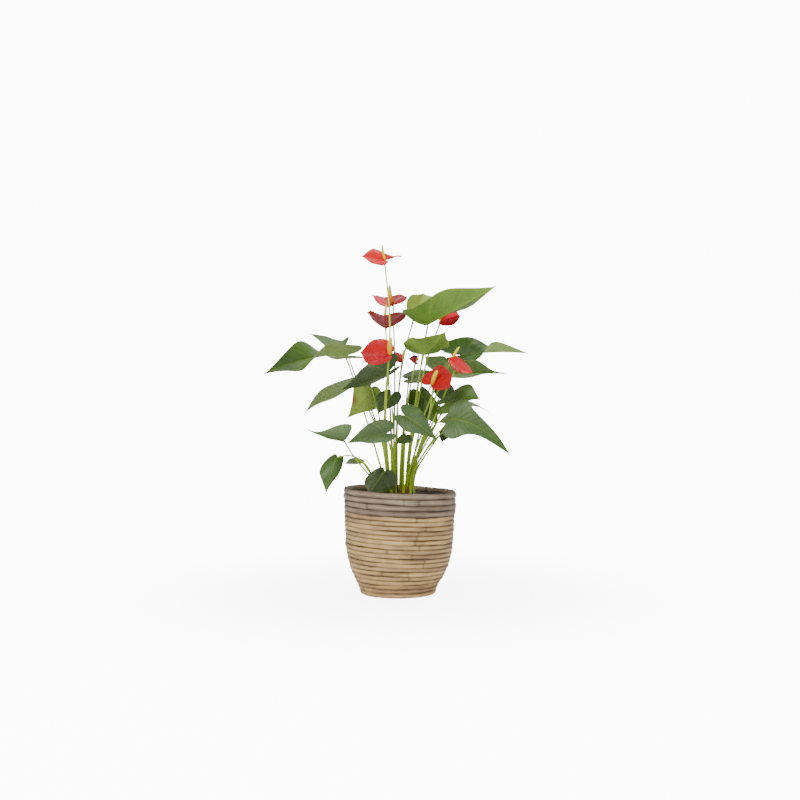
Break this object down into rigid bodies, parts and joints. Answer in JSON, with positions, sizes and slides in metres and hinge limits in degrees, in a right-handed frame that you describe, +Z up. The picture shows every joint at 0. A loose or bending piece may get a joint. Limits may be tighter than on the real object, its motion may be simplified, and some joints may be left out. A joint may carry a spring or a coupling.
{
  "type": "potted anthurium",
  "caption": "Flowering anthurium with heart-shaped green leaves and red spathes on slender stems, planted in soil in a plain inner pot that stands in a round cane basket.",
  "frame": {"origin": "middle of the basket's flat underside, on the surface it stands on", "axes": "+Z up through the basket's middle; -Y is the side seen from the front, with the widest spread of leaves along X; the basket's weave climbs toward -X"},
  "size_m": [0.5022, 0.2691, 0.6715],
  "materials": {
    "cane_tan": "satin split-cane rods, tan",
    "cane_grey_brown": "satin split-cane rods, grey-brown",
    "pot_brown_plastic": "matte dark brown nursery-pot plastic",
    "soil": "damp dark potting compost",
    "leaf_green": "waxy dark green leaf",
    "leaf_light_green": "young or pale leaf showing its light green",
    "stem_green": "smooth green flower stem",
    "spathe_red": "glossy red spathe",
    "spadix_yellow": "finely bumpy yellow spadix"
  },
  "bodies": {
    "root": {"basket_floor": "cane_tan", "basket_rim_band": "cane_grey_brown", "basket_wall": "cane_tan", "flower_1_spadix": "spadix_yellow", "flower_1_spathe": "spathe_red", "flower_1_stem": "stem_green", "flower_2_spadix": "spadix_yellow", "flower_2_spathe": "spathe_red", "flower_2_stem": "stem_green", "flower_3_spadix": "spadix_yellow", "flower_3_spathe": "spathe_red", "flower_3_stem": "stem_green", "flower_4_spadix": "spadix_yellow", "flower_4_spathe": "spathe_red", "flower_4_stem": "stem_green", "flower_5_spadix": "spadix_yellow", "flower_5_spathe": "spathe_red", "flower_5_stem": "stem_green", "flower_6_spadix": "spadix_yellow", "flower_6_spathe": "spathe_red", "flower_6_stem": "stem_green", "flower_7_spadix": "spadix_yellow", "flower_7_spathe": "spathe_red", "flower_7_stem": "stem_green", "flower_8_spadix": "spadix_yellow", "flower_8_spathe": "spathe_red", "flower_8_stem": "stem_green", "flower_9_spadix": "spadix_yellow", "flower_9_spathe": "spathe_red", "flower_9_stem": "stem_green", "inner_pot": "pot_brown_plastic", "leaf_01": "leaf_light_green", "leaf_02": "leaf_green", "leaf_03": "leaf_light_green", "leaf_04": "leaf_green", "leaf_05": "leaf_light_green", "leaf_06": "leaf_green", "leaf_07": "leaf_green", "leaf_08": "leaf_green", "leaf_09": "leaf_green", "leaf_10": "leaf_green", "leaf_11": "leaf_green", "leaf_12": "leaf_green", "leaf_13": "leaf_green", "leaf_14": "leaf_green", "leaf_15": "leaf_green", "leaf_16": "leaf_green", "leaf_17": "leaf_green", "leaf_18": "leaf_green", "leaf_19": "leaf_green", "leaf_20": "leaf_green", "leaf_21": "leaf_green", "leaf_22": "leaf_green", "leaf_23": "leaf_light_green", "leaf_24": "leaf_light_green", "leaf_25": "leaf_light_green", "leaf_26": "leaf_green", "leaf_27": "leaf_green", "soil": "soil"}
  },
  "joints": []
}
